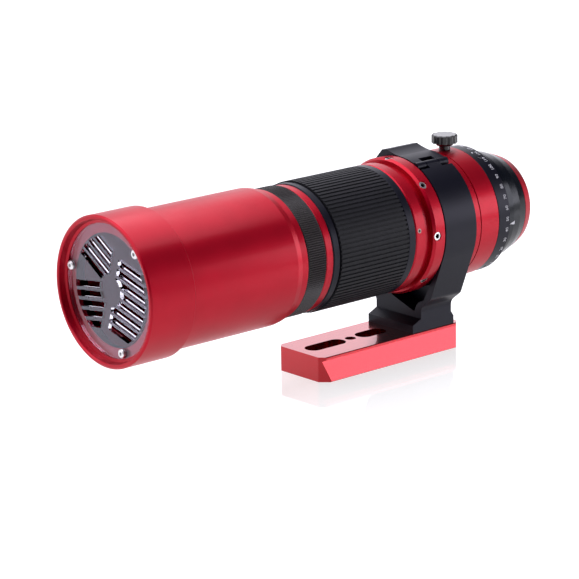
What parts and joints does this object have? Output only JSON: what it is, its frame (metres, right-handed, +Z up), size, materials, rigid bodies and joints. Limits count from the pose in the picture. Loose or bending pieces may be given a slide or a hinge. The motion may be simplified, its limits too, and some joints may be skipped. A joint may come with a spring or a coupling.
{
  "type": "refracting telescope",
  "caption": "Compact red refracting telescope with helical focuser, sliding dew shield, slotted focusing-mask cap, camera rotator and a clamshell ring on a dovetail plate.",
  "frame": {"origin": "on the middle line of the dovetail plate's bottom face, 53.5 mm behind its front end", "axes": "+X along the optical axis from the sky end to the camera end; +Z up; +Y to the side of the ring clamp"},
  "size_m": [0.3065, 0.0986, 0.1267],
  "materials": {
    "red_anodised": "satin anodised",
    "plate_red": "brushed anodised",
    "black_anodised": "satin anodised",
    "gloss_black": "polished anodised",
    "inner_black": "matt black",
    "grip_rubber": "ribbed",
    "steel": "stainless",
    "brass": "turned",
    "lens_glass": "coated",
    "clear_acrylic": "clear acrylic, laser cut",
    "felt": "felt"
  },
  "bodies": {
    "root": {"helicoid_housing": "red_anodised", "housing_set_screws": "steel", "focus_collar": "red_anodised", "main_tube": "red_anodised", "flange_set_screws": "steel", "rear_cell": "inner_black", "rear_lens": "lens_glass", "rear_lens_retainer": "inner_black", "rear_baffle": "inner_black", "dovetail_plate": "plate_red", "ring_lower": "black_anodised", "lower_liner": "felt", "hinge_pin": "steel", "foot_screws": "steel", "rear_body": "red_anodised", "scale_ring": "black_anodised", "scale_ring_screws": "steel"},
    "front_group": {"front_barrel": "red_anodised", "shield_guide": "felt", "objective_cell": "inner_black", "objective_retainer": "inner_black", "objective_front_lens": "lens_glass", "lens_spacer": "inner_black", "objective_rear_lens": "lens_glass", "front_baffle": "inner_black", "focus_keys": "brass"},
    "focus_grip": {"focus_grip_core": "black_anodised", "focus_grip_rubber": "grip_rubber"},
    "lock_ring": {"focus_lock_ring": "black_anodised"},
    "shield": {"dew_shield": "red_anodised", "shield_nose_band": "felt"},
    "cap": {"cap_shell": "red_anodised", "focus_mask": "clear_acrylic", "mask_screws": "steel"},
    "clamshell": {"ring_upper": "black_anodised", "upper_liner": "felt"},
    "ring_knob": {"clamp_knob": "black_anodised"},
    "ring_screw": {"clamp_screw": "steel"},
    "rotator": {"rotator_adapter": "gloss_black", "camera_ring": "red_anodised", "rotator_retainer": "inner_black"},
    "rotator_knob": {"lock_knob": "black_anodised"},
    "rotator_pad": {"lock_pad": "brass"}
  },
  "joints": [
    {"name": "focus_travel", "type": "slide", "parent": "root", "child": "front_group", "axis": [-1, 0, 0], "range_m": [0, 0.01]},
    {"name": "focus_turn", "type": "hinge", "parent": "root", "child": "focus_grip", "pos_m": [-0.027, 0, 0.0782], "axis": [1, 0, 0], "range_deg": [0, 270]},
    {"name": "focus_lock_turn", "type": "hinge", "parent": "root", "child": "lock_ring", "pos_m": [-0.0714, 0, 0.0782], "axis": [1, 0, 0], "range_deg": [0, 90]},
    {"name": "shield_slide", "type": "slide", "parent": "front_group", "child": "shield", "axis": [1, 0, 0], "range_m": [0, 0.065]},
    {"name": "cap_pull", "type": "slide", "parent": "shield", "child": "cap", "axis": [-1, 0, 0], "range_m": [0, 0.04]},
    {"name": "ring_open", "type": "hinge", "parent": "root", "child": "clamshell", "pos_m": [0.0388, -0.01515, 0.11479], "axis": [1, 0, 0], "range_deg": [0, 95]},
    {"name": "ring_knob_turn", "type": "hinge", "parent": "clamshell", "child": "ring_knob", "pos_m": [0.039, 0.0485, 0.0918], "axis": [0, 0, -1], "range_deg": [0, 2700]},
    {"name": "ring_screw_travel", "type": "slide", "parent": "clamshell", "child": "ring_screw", "axis": [0, 0, -1], "range_m": [0, 0.0061]},
    {"name": "rotator_turn", "type": "hinge", "parent": "root", "child": "rotator", "pos_m": [0.0942, 0, 0.0782], "axis": [1, 0, 0], "continuous": true},
    {"name": "rotator_knob_turn", "type": "hinge", "parent": "root", "child": "rotator_knob", "pos_m": [0.0653, 0, 0.1245], "axis": [0, 0, 1], "range_deg": [0, 450]},
    {"name": "rotator_pad_lift", "type": "slide", "parent": "root", "child": "rotator_pad", "axis": [0, 0, 1], "range_m": [0, 0.00101]}
  ],
  "couplings": [
    {"joint": "focus_turn", "follows": "focus_travel", "rad_per_m": 471.2},
    {"joint": "ring_screw_travel", "follows": "ring_knob_turn", "m_per_rad": 0.00012732},
    {"joint": "rotator_pad_lift", "follows": "rotator_knob_turn", "m_per_rad": 0.00012732}
  ]
}
